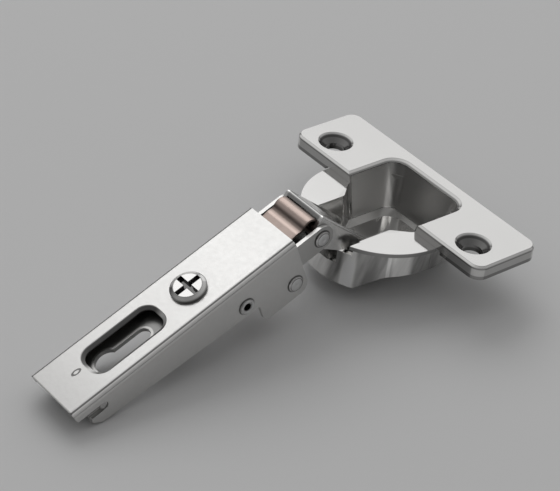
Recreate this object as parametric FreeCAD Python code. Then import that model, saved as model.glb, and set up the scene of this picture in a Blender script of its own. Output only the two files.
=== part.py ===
import FreeCAD, Part
import math
import os

# Concealed cup hinge, shown fully open, in millimetres.
# The cup axis is Z and the door face is the plane z = 0: the cup goes down into the door.
# The arm leaves the cup towards -X. Y is the line of the two cup screws.
# Arm parts are drawn in arm axes (u towards the cup, y, v square to the top sheet)
# and then set in place by arm_place.

# Cup and its boring
CUP_DIAMETER = 35.0
CUP_DEPTH = 11.5
CUP_WALL = 1.2
CUP_FLOOR = 1.0
CUP_FOOT_BEVEL = 0.9
CUP_SIDE_DEPTH = 5.4
CUP_KEEL_HALF_WIDTH = 8.2
CUP_BILGE_HALF_WIDTH = 14.2
CUP_BILGE_DEPTH = 6.2
COLLAR_RADIUS = 18.6
COLLAR_THICKNESS = 1.0

# Flange that is screwed to the door
FLANGE_FRONT_X = 0.0
FLANGE_BACK_X = 18.9
FLANGE_LENGTH = 64.4
FLANGE_HEIGHT = 3.5
FLANGE_PAD_LENGTH = 12.2
FLANGE_CORNER_RADIUS = 2.9
FLANGE_EDGE_BEVEL = 0.45
SCREW_SPACING = 48.0
SCREW_OFFSET_X = 6.0
SCREW_HOLE_DIAMETER = 4.6
SCREW_SINK_DIAMETER = 8.4

# Pocket in the cup that takes the links when the door is closed
POCKET_WIDENING = 2.7
POCKET_DRAFT = 2.6
POCKET_TOP_BACK_X = 15.0
POCKET_LOW_BACK_X = 12.4
POCKET_SHOULDER_X = -0.4
POCKET_THROAT_X = -4.5
POCKET_CORNER_RADIUS = 4.0
POCKET_RIM_BEVEL = 0.7
THROAT_SIDE_GAP = 0.35
THROAT_DRAFT = 1.7
LEDGE_Z = -8.0
RECESS_BACK_X = 10.5
RECESS_CORNER_RADIUS = 4.0
SADDLE_Z = -2.0
NOTCH_HALF_WIDTH = 4.85
NOTCH_Z = -5.6

# Arm axes: where the front edge of the top sheet lies, and how far the arm hangs past level
ARM_FRONT_X = -33.14
ARM_FRONT_Z = 7.62
ARM_HANG = 23.48

# Arm shell, a folded sheet
SHELL_LENGTH = 61.4
SHELL_WIDTH = 16.4
SHELL_SHEET = 0.9
SHELL_FOLD_RADIUS = 1.4
SHELL_REAR_DEPTH = 7.6
SHELL_FRONT_DEPTH = 9.6
LOBE_LENGTH = 13.0
LOBE_DEPTH = 15.2
WINDOW_REAR_INSET = 10.3
WINDOW_FRONT_U = -32.4
WINDOW_WIDTH = 7.2
WINDOW_CORNER_RADIUS = 2.6
WINDOW_RIM_WIDTH = 0.9
WINDOW_RIM_DEPTH = 0.6

# Ear channel folded from its own sheet, inside the shell
EAR_SHEET = 0.9
EAR_HALF_HEIGHT = 3.1
EAR_CHANNEL_LENGTH = 19.5
EAR_CHANNEL_ROOF_LENGTH = 5.0
EAR_NECK_U = -4.0

# Pivots, in arm axes
FRONT_PIVOT_U = 6.96
FRONT_PIVOT_V = -5.8
LOWER_PIVOT_U = -3.1
LOWER_PIVOT_V = -11.2
ANCHOR_U = -15.9
ANCHOR_V = -6.9
TILT_PIVOT_INSET = 7.2
TILT_PIVOT_V = -3.7

# Pivots, in cup axes
OUTER_CUP_PIVOT_X = -10.0
OUTER_CUP_PIVOT_Z = -4.4
INNER_CUP_PIVOT_X = -6.5
INNER_CUP_PIVOT_Z = -7.3

# Pins and rivets
CUP_PIN_RADIUS = 1.1
CUP_PIN_SEAT = 2.6
RIVET_RADIUS = 1.5
RIVET_HEAD_RADIUS = 1.95
RIVET_HEAD_HEIGHT = 0.55
ANCHOR_RADIUS = 1.6
ANCHOR_BORE_RADIUS = 0.95
ANCHOR_HEAD_RADIUS = 1.9
ANCHOR_HEAD_HEIGHT = 0.3
TILT_PIN_RADIUS = 0.9
SLEEVE_RADIUS = 2.2

# Outer link, a folded channel whose web faces up when the door is open
OUTER_LINK_SHEET = 1.0
OUTER_LINK_BACK = 3.5
OUTER_LINK_CUP_EYE = 2.9
OUTER_LINK_ARM_EYE = 2.6
OUTER_LINK_WAIST = 1.5
OUTER_LINK_WEB_LENGTH = 6.2
OUTER_LINK_FOLD_RADIUS = 0.7

# Inner link, a narrow folded channel
INNER_LINK_SIDE_ROOM = 2.05
INNER_LINK_SHEET = 1.0
INNER_LINK_ARM_EYE = 2.4
INNER_LINK_CREST = 5.45
INNER_LINK_SHELF = 3.1
INNER_FORK_HALF_HEIGHT = 2.3
INNER_FORK_REACH = 1.7
FORK_SLOT_TRAVEL = 1.25

# Closing spring, one leaf with two humps, hooked on a rivet at each end
SPRING_SHEET = 0.5
SPRING_FRONT_HUMP_RADIUS = 2.4
SPRING_FRONT_HUMP_U = 6.0
SPRING_FRONT_HUMP_V = -3.1
SPRING_REAR_HUMP_RADIUS = 2.5
SPRING_REAR_HUMP_U = 2.6
SPRING_REAR_HUMP_V = -4.2
SPRING_VALLEY_RADIUS = 1.5
SPRING_FRONT_HOOK_START = -40.0
SPRING_REAR_HOOK_END = 200.0

# Side adjusting screw and the base channel that it tilts
SIDE_SCREW_U = -23.7
SIDE_SCREW_HEAD_RADIUS = 4.2
SIDE_SCREW_HEAD_HEIGHT = 1.2
SIDE_SCREW_NECK_RADIUS = 2.3
SIDE_SCREW_THREAD_RADIUS = 2.8
SIDE_SCREW_LENGTH = 8.4
CROSS_WIDTH = 1.3
CROSS_LENGTH = 6.4
CROSS_DEPTH = 1.0
BASE_REAR_INSET = 3.2
BASE_FRONT_U = -20.1
BASE_ROOF_V = -2.9
BASE_SHEET = 1.1
BASE_DEPTH = 7.4
KEYHOLE_REAR_INSET = 14.6
KEYHOLE_ROUND_RADIUS = 3.2
KEYHOLE_SLOT_HALF_WIDTH = 1.8
KEYHOLE_SCREW_SPACING = 11.9

# Clearances
RUNNING_FIT = 0.05
SIDE_GAP = 0.05
LINK_SIDE_GAP = 0.1
FORK_GAP = 0.25
THREAD_GAP = 0.15
HEAD_GAP = 0.05
SLOT_GAP = 0.1

# Sizes that follow
CUP_RADIUS = CUP_DIAMETER / 2
CUP_BOTTOM_Z = -CUP_DEPTH
SHELL_HALF = SHELL_WIDTH / 2
SHELL_INNER_HALF = SHELL_HALF - SHELL_SHEET
EAR_HALF = SHELL_INNER_HALF - SIDE_GAP
EAR_INNER_HALF = EAR_HALF - EAR_SHEET
OUTER_LINK_HALF = EAR_INNER_HALF - LINK_SIDE_GAP
OUTER_LINK_INNER_HALF = OUTER_LINK_HALF - OUTER_LINK_SHEET
SPRING_HALF = OUTER_LINK_INNER_HALF - LINK_SIDE_GAP
INNER_LINK_HALF = OUTER_LINK_INNER_HALF - INNER_LINK_SIDE_ROOM
THROAT_LOW_HALF_WIDTH = OUTER_LINK_HALF + THROAT_SIDE_GAP
THROAT_TOP_HALF_WIDTH = THROAT_LOW_HALF_WIDTH + THROAT_DRAFT
POCKET_LOW_HALF_WIDTH = THROAT_LOW_HALF_WIDTH + POCKET_WIDENING
POCKET_TOP_HALF_WIDTH = POCKET_LOW_HALF_WIDTH + POCKET_DRAFT
TILT_PIVOT_U = -SHELL_LENGTH + TILT_PIVOT_INSET
BASE_REAR_U = -SHELL_LENGTH + BASE_REAR_INSET
WINDOW_REAR_U = -SHELL_LENGTH + WINDOW_REAR_INSET
KEYHOLE_ROUND_U = -SHELL_LENGTH + KEYHOLE_REAR_INSET
KEYHOLE_FRONT_U = SIDE_SCREW_U - KEYHOLE_SCREW_SPACING


def arm_place(shape):
    """Sets a shape drawn in arm axes into the hinge."""
    turn = FreeCAD.Rotation(FreeCAD.Vector(0, 1, 0), -ARM_HANG)
    place = FreeCAD.Placement(FreeCAD.Vector(ARM_FRONT_X, 0, ARM_FRONT_Z), turn)
    shape.Placement = place.multiply(shape.Placement)
    return shape


def arm_point(u, v):
    """Cup-axes x and z of a point given in arm axes."""
    hang = math.radians(ARM_HANG)
    x = ARM_FRONT_X + u * math.cos(hang) - v * math.sin(hang)
    z = ARM_FRONT_Z + u * math.sin(hang) + v * math.cos(hang)
    return x, z


def outline(corners):
    """Closed wire in the XZ plane through corners (x, z, radius), each rounded by its radius."""
    edges = []
    count = len(corners)
    starts = []
    ends = []
    middles = []
    for index in range(count):
        here = FreeCAD.Vector(corners[index][0], 0, corners[index][1])
        before = FreeCAD.Vector(corners[index - 1][0], 0, corners[index - 1][1])
        following = corners[(index + 1) % count]
        after = FreeCAD.Vector(following[0], 0, following[1])
        into = (before - here).normalize()
        out = (after - here).normalize()
        radius = corners[index][2]
        half = into.getAngle(out) / 2
        if radius <= 0 or half > math.radians(89.9):
            starts.append(here)
            ends.append(here)
            middles.append(None)
            continue
        reach = radius / math.tan(half)
        starts.append(here + into * reach)
        ends.append(here + out * reach)
        centre = here + (into + out).normalize() * (radius / math.sin(half))
        middles.append(centre + (here - centre).normalize() * radius)
    for index in range(count):
        if middles[index] is not None:
            edges.append(Part.Arc(starts[index], middles[index], ends[index]).toShape())
        goal = starts[(index + 1) % count]
        if ends[index].distanceToPoint(goal) > 1e-6:
            edges.append(Part.LineSegment(ends[index], goal).toShape())
    return Part.Wire(edges)


def slab(corners, y_low, y_high):
    """Plate with a rounded outline in XZ that fills y_low to y_high."""
    face = Part.Face(outline(corners))
    plate = face.extrude(FreeCAD.Vector(0, y_high - y_low, 0))
    plate.translate(FreeCAD.Vector(0, y_low, 0))
    return plate


def box(x_low, x_high, y_low, y_high, z_low, z_high):
    size = (x_high - x_low, y_high - y_low, z_high - z_low)
    return Part.makeBox(*size, FreeCAD.Vector(x_low, y_low, z_low))


def rod(x, z, radius, y_low, y_high):
    """Cylinder along Y."""
    return Part.makeCylinder(radius, y_high - y_low, FreeCAD.Vector(x, y_low, z), FreeCAD.Vector(0, 1, 0))


def level_outline(corners, z):
    """Closed wire at height z through corners (x, y, radius), each rounded by its radius."""
    wire = outline(corners)
    wire.rotate(FreeCAD.Vector(0, 0, 0), FreeCAD.Vector(1, 0, 0), -90)
    wire.translate(FreeCAD.Vector(0, 0, z))
    return wire


def write(shape, name):
    shape = shape.removeSplitter()
    shape.exportStep("parts/" + name + ".step")


def pocket_outline(z, half_width, back_x, throat_half, radius):
    """Plan of the pocket: wide under the flange, narrower between the two lips."""
    front = -CUP_RADIUS - 2.0
    return level_outline([
        (back_x, half_width, radius),
        (POCKET_SHOULDER_X, half_width, 1.0),
        (POCKET_THROAT_X, throat_half, 1.2),
        (front, throat_half, 0),
        (front, -throat_half, 0),
        (POCKET_THROAT_X, -throat_half, 1.2),
        (POCKET_SHOULDER_X, -half_width, 1.0),
        (back_x, -half_width, radius),
    ], z)


def flange():
    """Flange plate on its two end pads."""
    half = FLANGE_LENGTH / 2
    corners = [
        (FLANGE_FRONT_X, half, FLANGE_CORNER_RADIUS),
        (FLANGE_BACK_X, half, FLANGE_CORNER_RADIUS),
        (FLANGE_BACK_X, -half, FLANGE_CORNER_RADIUS),
        (FLANGE_FRONT_X, -half, FLANGE_CORNER_RADIUS),
    ]
    plate = Part.Face(level_outline(corners, 0)).extrude(FreeCAD.Vector(0, 0, FLANGE_HEIGHT))
    top = [edge for edge in plate.Edges if edge.BoundBox.ZMin > FLANGE_HEIGHT - 0.01]
    plate = plate.makeChamfer(FLANGE_EDGE_BEVEL, top)
    pad_y = half - FLANGE_PAD_LENGTH
    under = box(FLANGE_FRONT_X - 1, FLANGE_BACK_X + 1, -pad_y, pad_y, -1, COLLAR_THICKNESS)
    lengthwise = [edge for edge in under.Edges if edge.BoundBox.YLength < 0.01 and edge.BoundBox.ZMin > 0.5]
    lengthwise = [edge for edge in lengthwise if edge.BoundBox.XLength > 1 and edge.BoundBox.ZLength < 0.01]
    under = under.makeFillet(0.6, lengthwise)
    return plate.cut(under)


def cup_body():
    """Cup with its collar, before the pocket is taken out."""
    cup = Part.makeCylinder(CUP_RADIUS, CUP_DEPTH, FreeCAD.Vector(0, 0, CUP_BOTTOM_Z))
    foot = [edge for edge in cup.Edges if edge.BoundBox.ZMax < CUP_BOTTOM_Z + 0.01]
    cup = cup.makeChamfer(CUP_FOOT_BEVEL, foot)
    collar = Part.makeCylinder(COLLAR_RADIUS, COLLAR_THICKNESS)
    return cup.common(hull_beam()).fuse(collar)


def hull_beam():
    """Beam along X whose section is the cup's underside: deep in the middle, shallow at the sides."""
    out = CUP_RADIUS + 1.0
    section = [
        (-out, 1.0, 0),
        (-out, -CUP_SIDE_DEPTH, 0),
        (-CUP_BILGE_HALF_WIDTH, -CUP_BILGE_DEPTH, 3.0),
        (-CUP_KEEL_HALF_WIDTH, CUP_BOTTOM_Z, 1.5),
        (CUP_KEEL_HALF_WIDTH, CUP_BOTTOM_Z, 1.5),
        (CUP_BILGE_HALF_WIDTH, -CUP_BILGE_DEPTH, 3.0),
        (out, -CUP_SIDE_DEPTH, 0),
        (out, 1.0, 0),
    ]
    beam = Part.Face(outline(section)).extrude(FreeCAD.Vector(0, 2 * out, 0))
    beam.translate(FreeCAD.Vector(0, -out, 0))
    beam.rotate(FreeCAD.Vector(0, 0, 0), FreeCAD.Vector(0, 0, 1), 90)
    return beam


def pocket():
    """Room for the links: a drafted pocket, a ledge and a deeper recess."""
    upper_top = pocket_outline(FLANGE_HEIGHT + 0.01, POCKET_TOP_HALF_WIDTH, POCKET_TOP_BACK_X,
                               THROAT_TOP_HALF_WIDTH, POCKET_CORNER_RADIUS)
    upper_low = pocket_outline(LEDGE_Z, POCKET_LOW_HALF_WIDTH, POCKET_LOW_BACK_X,
                               THROAT_LOW_HALF_WIDTH, POCKET_CORNER_RADIUS - 1.0)
    upper = Part.makeLoft([upper_top, upper_low], True, True)
    grown = POCKET_RIM_BEVEL
    rim_low_z = FLANGE_HEIGHT - grown
    rim_top = pocket_outline(FLANGE_HEIGHT + 0.01, POCKET_TOP_HALF_WIDTH + grown, POCKET_TOP_BACK_X + grown,
                             THROAT_TOP_HALF_WIDTH, POCKET_CORNER_RADIUS + grown)
    rim_low = pocket_outline(rim_low_z, POCKET_TOP_HALF_WIDTH - POCKET_DRAFT * grown / (FLANGE_HEIGHT - LEDGE_Z),
                             POCKET_TOP_BACK_X - 0.1, THROAT_TOP_HALF_WIDTH - 0.1, POCKET_CORNER_RADIUS)
    rim = Part.makeLoft([rim_top, rim_low], True, True)
    upper = upper.fuse(rim)
    recess = Part.Face(level_outline([
        (RECESS_BACK_X, THROAT_LOW_HALF_WIDTH, RECESS_CORNER_RADIUS),
        (-CUP_RADIUS, THROAT_LOW_HALF_WIDTH, 0),
        (-CUP_RADIUS, -THROAT_LOW_HALF_WIDTH, 0),
        (RECESS_BACK_X, -THROAT_LOW_HALF_WIDTH, RECESS_CORNER_RADIUS),
    ], CUP_BOTTOM_Z + CUP_FLOOR)).extrude(FreeCAD.Vector(0, 0, LEDGE_Z - CUP_BOTTOM_Z - CUP_FLOOR + 0.01))
    inside = Part.makeCylinder(CUP_RADIUS - CUP_WALL, CUP_DEPTH, FreeCAD.Vector(0, 0, CUP_BOTTOM_Z))
    above = box(-CUP_RADIUS, CUP_RADIUS, -CUP_RADIUS, CUP_RADIUS, 0, FLANGE_HEIGHT + 1)
    return upper.fuse(recess).common(inside.fuse(above))


def hinge_cup():
    """Cup, collar lips and flange, cast in one piece."""
    cup = cup_body().fuse(flange()).cut(pocket())
    front = -COLLAR_RADIUS - 1.0
    saddle = box(front, -CUP_RADIUS + 4.0, -THROAT_TOP_HALF_WIDTH, THROAT_TOP_HALF_WIDTH, SADDLE_Z, FLANGE_HEIGHT)
    notch = box(front, -CUP_RADIUS + 4.0, -NOTCH_HALF_WIDTH, NOTCH_HALF_WIDTH, NOTCH_Z, SADDLE_Z + 1)
    cup = cup.cut(saddle.fuse(notch))
    sink_depth = (SCREW_SINK_DIAMETER - SCREW_HOLE_DIAMETER) / 2
    for side in (-1, 1):
        at = FreeCAD.Vector(SCREW_OFFSET_X, side * SCREW_SPACING / 2, -1)
        cup = cup.cut(Part.makeCylinder(SCREW_HOLE_DIAMETER / 2, FLANGE_HEIGHT + 2, at))
        at.z = FLANGE_HEIGHT - sink_depth
        sink = Part.makeCone(SCREW_HOLE_DIAMETER / 2, SCREW_SINK_DIAMETER / 2, sink_depth, at)
        cup = cup.cut(sink)
    for pin in outer_link_pins() + [inner_link_pin()]:
        cup = cup.cut(pin)
    return cup


def throat_half_at(z):
    """Half width of the drafted pocket between the lips at height z."""
    share = (FLANGE_HEIGHT - z) / (FLANGE_HEIGHT - LEDGE_Z)
    return THROAT_TOP_HALF_WIDTH + share * (THROAT_LOW_HALF_WIDTH - THROAT_TOP_HALF_WIDTH)


def outer_link_pins():
    """Two stub pins in the cup walls that carry the legs of the outer link."""
    outer = throat_half_at(OUTER_CUP_PIVOT_Z) + CUP_PIN_SEAT
    inner = OUTER_LINK_INNER_HALF - LINK_SIDE_GAP
    left = rod(OUTER_CUP_PIVOT_X, OUTER_CUP_PIVOT_Z, CUP_PIN_RADIUS, inner, outer)
    right = rod(OUTER_CUP_PIVOT_X, OUTER_CUP_PIVOT_Z, CUP_PIN_RADIUS, -outer, -inner)
    return [left, right]


def inner_link_pin():
    """Through pin of the inner link, seated in both cup walls."""
    reach = throat_half_at(INNER_CUP_PIVOT_Z) + CUP_PIN_SEAT
    return rod(INNER_CUP_PIVOT_X, INNER_CUP_PIVOT_Z, CUP_PIN_RADIUS, -reach, reach)


def outer_link():
    """Channel with a web on top; its legs reach from the front rivet down to the cup pins."""
    arm_x, arm_z = arm_point(FRONT_PIVOT_U, FRONT_PIVOT_V)
    cup_x = OUTER_CUP_PIVOT_X
    cup_z = OUTER_CUP_PIVOT_Z
    along = FreeCAD.Vector(cup_x - arm_x, 0, cup_z - arm_z).normalize()
    up = FreeCAD.Vector(-along.z, 0, along.x)
    if up.z < 0:
        up = up * -1
    arm = FreeCAD.Vector(arm_x, 0, arm_z)
    cup = FreeCAD.Vector(cup_x, 0, cup_z)

    def corner(base, forward, above, radius):
        point = base + along * forward + up * above
        return (point.x, point.z, radius)

    top_arm = OUTER_LINK_BACK + 1.1
    legs = [
        corner(arm, -2.6, top_arm, 0.6),
        corner(cup, OUTER_LINK_CUP_EYE, OUTER_LINK_BACK - 0.6, OUTER_LINK_CUP_EYE * 0.95),
        corner(cup, OUTER_LINK_CUP_EYE, -OUTER_LINK_CUP_EYE, OUTER_LINK_CUP_EYE * 0.95),
        corner(cup, 1.0 - OUTER_LINK_CUP_EYE, -OUTER_LINK_CUP_EYE, 1.6),
        corner(cup, -OUTER_LINK_CUP_EYE - 2.4, -0.3, 0.8),
        corner(cup, -OUTER_LINK_CUP_EYE - 6.0, -OUTER_LINK_WAIST, 1.5),
        corner(arm, 1.8, -OUTER_LINK_ARM_EYE, 1.8),
        corner(arm, -OUTER_LINK_ARM_EYE, -OUTER_LINK_ARM_EYE, OUTER_LINK_ARM_EYE * 0.95),
    ]
    body = slab(legs, -OUTER_LINK_HALF, OUTER_LINK_HALF)
    body = body.cut(fold_waste(legs[0], legs[1], OUTER_LINK_HALF, OUTER_LINK_FOLD_RADIUS))
    room = [
        corner(arm, -8.0, top_arm - OUTER_LINK_SHEET, 0),
        corner(arm, OUTER_LINK_WEB_LENGTH, OUTER_LINK_BACK + 0.45 - OUTER_LINK_SHEET, 0),
        corner(arm, OUTER_LINK_WEB_LENGTH - 2.0, OUTER_LINK_BACK + 3.0, 0),
        corner(cup, 8.0, 8.0, 0),
        corner(cup, 8.0, -8.0, 0),
        corner(arm, -8.0, -8.0, 0),
    ]
    body = body.cut(slab(room, -OUTER_LINK_INNER_HALF, OUTER_LINK_INNER_HALF))
    for x, z, radius in ((arm_x, arm_z, RIVET_RADIUS), (cup_x, cup_z, CUP_PIN_RADIUS)):
        body = body.cut(rod(x, z, radius + RUNNING_FIT, -SHELL_HALF, SHELL_HALF))
    return body


def fold_waste(first, second, half, radius):
    """Corner waste along the line first to second, so a folded sheet's two long edges are round."""
    start = FreeCAD.Vector(first[0], 0, first[1])
    end = FreeCAD.Vector(second[0], 0, second[1])
    along = (end - start).normalize()
    up = FreeCAD.Vector(-along.z, 0, along.x)
    across = FreeCAD.Vector(0, 1, 0)
    start = start - along * 3
    reach = along * ((end - start).Length + 3)
    waste = None
    for side in (-1, 1):
        apex = start + across * (side * half)
        inner = apex - across * (side * radius)
        low = apex - up * radius
        centre = inner - up * radius
        middle = centre + (across * side + up).normalize() * radius
        beyond = apex + across * side + up
        edges = [
            Part.Arc(inner, middle, low).toShape(),
            Part.LineSegment(low, low + across * side).toShape(),
            Part.LineSegment(low + across * side, beyond).toShape(),
            Part.LineSegment(beyond, inner + up).toShape(),
            Part.LineSegment(inner + up, inner).toShape(),
        ]
        strip = Part.Face(Part.Wire(edges)).extrude(reach)
        waste = strip if waste is None else waste.fuse(strip)
    return waste


def inner_link():
    """Narrow channel, humped over the front rivet's path, from the lower rivet to a fork on the cup's pin."""
    arm_x, arm_z = arm_point(LOWER_PIVOT_U, LOWER_PIVOT_V)
    arm = FreeCAD.Vector(arm_x, 0, arm_z)
    cup = FreeCAD.Vector(INNER_CUP_PIVOT_X, 0, INNER_CUP_PIVOT_Z)
    along = (cup - arm).normalize()
    up = FreeCAD.Vector(-along.z, 0, along.x)
    if up.z < 0:
        up = up * -1
    span = (cup - arm).Length
    eye = INNER_LINK_ARM_EYE
    crest = INNER_LINK_CREST
    shelf = INNER_LINK_SHELF
    fork = INNER_FORK_HALF_HEIGHT
    sheet = INNER_LINK_SHEET

    def corner(forward, above, radius):
        point = arm + along * forward + up * above
        return (point.x, point.z, radius)

    side = [
        corner(-eye, eye, eye * 0.95),
        corner(span * 0.17, crest, 3.0),
        corner(span * 0.39, crest, 2.0),
        corner(span * 0.49, crest - 0.3, 2.0),
        corner(span * 0.7, fork, 2.5),
        corner(span + INNER_FORK_REACH, fork, 1.0),
        corner(span + INNER_FORK_REACH, -fork, 0.8),
        corner(span * 0.745, -fork, 1.5),
        corner(span * 0.62, 0.72, 1.2),
        corner(span * 0.545, 0.46, 0.6),
        corner(span * 0.405, shelf, 1.2),
        corner(span * 0.225, shelf - 0.2, 1.4),
        corner(eye + 0.7, -0.6, 0.6),
        corner(eye, -eye, eye * 0.8),
        corner(-eye, -eye, eye * 0.95),
    ]
    body = slab(side, -INNER_LINK_HALF, INNER_LINK_HALF)
    inner = INNER_LINK_HALF - sheet
    room = [
        corner(-8.0, 8.0, 0),
        corner(0.8, 8.0, 0),
        corner(0.8, eye + 0.3, 0),
        corner(span * 0.18, crest - sheet, 2.0),
        corner(span * 0.38, crest - sheet, 1.0),
        corner(span * 0.47, crest - sheet - 0.3, 1.5),
        corner(span * 0.667, fork - sheet, 1.0),
        corner(span * 0.857, fork - sheet, 0),
        corner(span * 0.857, 8.0, 0),
        corner(span + 8.0, 8.0, 0),
        corner(span + 8.0, -8.0, 0),
        corner(-8.0, -8.0, 0),
    ]
    body = body.cut(slab(room, -inner, inner))
    body = body.cut(rod(arm_x, arm_z, RIVET_RADIUS + RUNNING_FIT, -SHELL_HALF, SHELL_HALF))
    slot = CUP_PIN_RADIUS + FORK_GAP
    mouth = [
        (cup.x - FORK_SLOT_TRAVEL - slot, cup.z + slot, slot * 0.98),
        (cup.x + 8.0, cup.z + slot, 0),
        (cup.x + 8.0, cup.z - slot, 0),
        (cup.x - FORK_SLOT_TRAVEL - slot, cup.z - slot, slot * 0.98),
    ]
    return body.cut(slab(mouth, -SHELL_HALF, SHELL_HALF))


def window_outline(v, growth):
    """Plan of the window in the top sheet, grown outwards all round."""
    half = WINDOW_WIDTH / 2 + growth
    rear = WINDOW_REAR_U - growth
    front = WINDOW_FRONT_U + growth
    radius = WINDOW_CORNER_RADIUS + growth
    return level_outline([(rear, half, radius), (front, half, radius), (front, -half, radius), (rear, -half, radius)], v)


def arm_shell():
    """Folded cover of the arm with its front lobes, rear slots and top openings."""
    slot_half = TILT_PIN_RADIUS + SLOT_GAP
    side = [
        (-SHELL_LENGTH, 0, 0),
        (0, 0, 0),
        (0, -LOBE_DEPTH, 2.5),
        (-LOBE_LENGTH, -LOBE_DEPTH, 1.6),
        (-LOBE_LENGTH, -SHELL_FRONT_DEPTH, 0.8),
        (-LOBE_LENGTH - 8.0, -SHELL_FRONT_DEPTH, 4.0),
        (-SHELL_LENGTH + 5.4, -SHELL_REAR_DEPTH, 0.5),
        (-SHELL_LENGTH + 3.4, -SHELL_REAR_DEPTH + 1.6, 0.5),
        (-SHELL_LENGTH + 3.4, TILT_PIVOT_V - slot_half, 0.3),
        (TILT_PIVOT_U - 0.5, TILT_PIVOT_V - slot_half, 0),
        (TILT_PIVOT_U + slot_half, TILT_PIVOT_V - slot_half, slot_half * 0.98),
        (TILT_PIVOT_U + slot_half, TILT_PIVOT_V + slot_half, slot_half * 0.98),
        (-SHELL_LENGTH + 2.0, TILT_PIVOT_V + slot_half, 0.4),
        (-SHELL_LENGTH + 0.4, TILT_PIVOT_V + slot_half, 0.4),
    ]
    shell = slab(side, -SHELL_HALF, SHELL_HALF)
    folds = [edge for edge in shell.Edges if abs(edge.BoundBox.ZMax) < 0.01 and edge.BoundBox.XLength > 10]
    folds = [edge for edge in folds if edge.BoundBox.ZLength < 0.01 and edge.BoundBox.YLength < 0.01]
    shell = shell.makeFillet(SHELL_FOLD_RADIUS, folds)
    room = box(-SHELL_LENGTH - 1, 1, -SHELL_INNER_HALF, SHELL_INNER_HALF, -LOBE_DEPTH - 1, -SHELL_SHEET)
    shell = shell.cut(room)
    window = Part.Face(window_outline(-SHELL_SHEET - 1, 0)).extrude(FreeCAD.Vector(0, 0, SHELL_SHEET + 2))
    rim = Part.makeLoft([window_outline(0.01, WINDOW_RIM_WIDTH), window_outline(-WINDOW_RIM_DEPTH, 0)], True, True)
    shell = shell.cut(window).cut(rim)
    neck = FreeCAD.Vector(SIDE_SCREW_U, 0, -SHELL_SHEET - 1)
    shell = shell.cut(Part.makeCylinder(SIDE_SCREW_NECK_RADIUS + RUNNING_FIT, SHELL_SHEET + 2, neck))
    shell = shell.cut(rod(LOWER_PIVOT_U, LOWER_PIVOT_V, RIVET_RADIUS, -SHELL_HALF - 1, SHELL_HALF + 1))
    shell = shell.cut(rod(ANCHOR_U, ANCHOR_V, ANCHOR_RADIUS, -SHELL_HALF - 1, SHELL_HALF + 1))
    return arm_place(shell)


def ear_channel():
    """Second folded sheet inside the shell: two side plates with ears, joined by a short roof."""
    roof_v = -SHELL_SHEET - SIDE_GAP
    side = [
        (-EAR_CHANNEL_LENGTH, roof_v, 0),
        (EAR_NECK_U, roof_v, 0),
        (EAR_NECK_U + 1.5, FRONT_PIVOT_V + EAR_HALF_HEIGHT, 1.0),
        (FRONT_PIVOT_U + EAR_HALF_HEIGHT, FRONT_PIVOT_V + EAR_HALF_HEIGHT, EAR_HALF_HEIGHT * 0.95),
        (FRONT_PIVOT_U + EAR_HALF_HEIGHT, FRONT_PIVOT_V - EAR_HALF_HEIGHT, EAR_HALF_HEIGHT * 0.95),
        (-0.4, FRONT_PIVOT_V - EAR_HALF_HEIGHT, 0.6),
        (-0.4, -LOBE_DEPTH + 0.5, 2.2),
        (LOWER_PIVOT_U - 3.6, -LOBE_DEPTH + 0.5, 1.5),
        (LOWER_PIVOT_U - 3.6, -SHELL_FRONT_DEPTH + 0.5, 1.0),
        (-EAR_CHANNEL_LENGTH, -SHELL_FRONT_DEPTH + 0.5, 1.0),
    ]
    channel = slab(side, -EAR_HALF, EAR_HALF)
    roof_end = -EAR_CHANNEL_LENGTH + EAR_CHANNEL_ROOF_LENGTH
    room = [
        (-EAR_CHANNEL_LENGTH - 1.0, roof_v - EAR_SHEET, 0),
        (roof_end, roof_v - EAR_SHEET, 0),
        (roof_end, 1.0, 0),
        (FRONT_PIVOT_U + 8.0, 1.0, 0),
        (FRONT_PIVOT_U + 8.0, -LOBE_DEPTH - 1, 0),
        (-EAR_CHANNEL_LENGTH - 1.0, -LOBE_DEPTH - 1, 0),
    ]
    channel = channel.cut(slab(room, -EAR_INNER_HALF, EAR_INNER_HALF))
    for u, v, radius in ((FRONT_PIVOT_U, FRONT_PIVOT_V, RIVET_RADIUS),
                         (LOWER_PIVOT_U, LOWER_PIVOT_V, RIVET_RADIUS),
                         (ANCHOR_U, ANCHOR_V, ANCHOR_RADIUS)):
        channel = channel.cut(rod(u, v, radius, -SHELL_HALF, SHELL_HALF))
    return arm_place(channel)


def rivet(u, v, half_grip):
    """Solid rivet along Y with a bevelled head at each end."""
    body = rod(u, v, RIVET_RADIUS, -half_grip, half_grip)
    for side in (-1, 1):
        seat = FreeCAD.Vector(u, side * half_grip, v)
        way = FreeCAD.Vector(0, side, 0)
        head = Part.makeCylinder(RIVET_HEAD_RADIUS, RIVET_HEAD_HEIGHT, seat, way)
        rim = [edge for edge in head.Edges
               if abs(edge.BoundBox.Center.y - side * (half_grip + RIVET_HEAD_HEIGHT)) < 0.01
               and edge.BoundBox.XLength > 1]
        head = head.makeChamfer(RIVET_HEAD_HEIGHT * 0.5, rim)
        body = body.fuse(head)
    return arm_place(body)


def lower_sleeve(side):
    """Spacer tube that keeps the inner link in the middle of the lower rivet."""
    ends = sorted((side * (INNER_LINK_HALF + SIDE_GAP), side * (EAR_INNER_HALF - SIDE_GAP)))
    tube = rod(LOWER_PIVOT_U, LOWER_PIVOT_V, SLEEVE_RADIUS, *ends)
    return arm_place(tube.cut(rod(LOWER_PIVOT_U, LOWER_PIVOT_V, RIVET_RADIUS, *ends)))


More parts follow.
